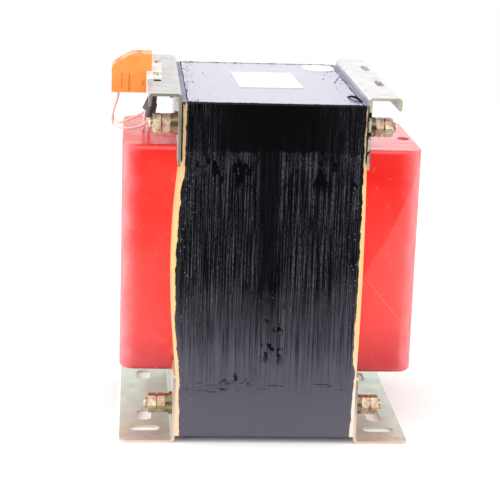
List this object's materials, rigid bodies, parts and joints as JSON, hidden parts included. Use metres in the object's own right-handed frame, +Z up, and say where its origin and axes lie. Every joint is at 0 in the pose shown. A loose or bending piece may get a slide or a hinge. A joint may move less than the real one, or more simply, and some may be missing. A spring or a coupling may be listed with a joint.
{
  "type": "potted high-voltage transformer",
  "caption": "Potted high-voltage transformer: red cast-resin coil on a black laminated core, clamped between plated steel feet and top brackets, with an orange screw terminal block.",
  "frame": {"origin": "on the ground plane, in the middle of the four slots across the feet", "axes": "+Z up, X across the stack of core sheets and the two feet, -Y the front, where the sheet edges show"},
  "size_m": [0.1787, 0.16, 0.2115],
  "materials": {
    "core_paint": "gloss black insulating paint brushed over the sheet edges",
    "board": "sawn glass-mat laminate, varnished",
    "cast_resin": "cast red epoxy, glossy with fine scratches",
    "former_plastic": "moulded glass-filled nylon",
    "enamelled_copper": "enamelled copper wire, wound close",
    "wrap_film": "polyester film wrap",
    "plated_steel": "zinc plated steel with a faint yellow and violet passivation",
    "stud_steel": "zinc plated fasteners with a yellow passivation",
    "nickel_brass": "machined brass",
    "terminal_orange": "moulded orange polyamide",
    "white_nylon": "moulded white nylon",
    "sleeve_black": "soft moulded vinyl",
    "lead_insulation": "clear pink insulated lead",
    "label_film": "bare white label film"
  },
  "bodies": {
    "root": {"e_sheets_front": "core_paint", "i_sheets_rear": "core_paint", "e_sheets_rear": "core_paint", "i_sheets_front": "core_paint", "end_board_left": "board", "end_board_right": "board", "coil_former": "former_plastic", "primary_winding": "enamelled_copper", "winding_barrier": "wrap_film", "secondary_winding": "enamelled_copper", "outer_wrap": "wrap_film", "resin_block": "cast_resin", "top_bracket_left": "plated_steel", "foot_bracket_left": "plated_steel", "flat_washers_left": "stud_steel", "spring_washers_left": "stud_steel", "clamp_nuts_left": "stud_steel", "lock_nuts_left": "stud_steel", "top_bracket_right": "plated_steel", "foot_bracket_right": "plated_steel", "flat_washers_right": "stud_steel", "spring_washers_right": "stud_steel", "clamp_nuts_right": "stud_steel", "lock_nuts_right": "stud_steel", "stud_top_front": "stud_steel", "stud_top_rear": "stud_steel", "stud_bottom_front": "stud_steel", "stud_bottom_rear": "stud_steel", "terminal_end_plate": "terminal_orange", "terminal_pole_1": "terminal_orange", "terminal_pole_2": "terminal_orange", "clamp_cages": "nickel_brass", "clamp_screws": "stud_steel", "contact_bars": "nickel_brass", "terminal_strip": "white_nylon", "strip_screws": "stud_steel", "strip_nuts": "stud_steel", "splice_sleeve_1": "sleeve_black", "splice_sleeve_2": "sleeve_black", "terminal_lead_1": "lead_insulation", "terminal_lead_2": "lead_insulation", "coil_tail_1": "lead_insulation", "coil_tail_2": "lead_insulation", "blank_label": "label_film", "blank_sticker": "label_film"}
  },
  "joints": []
}
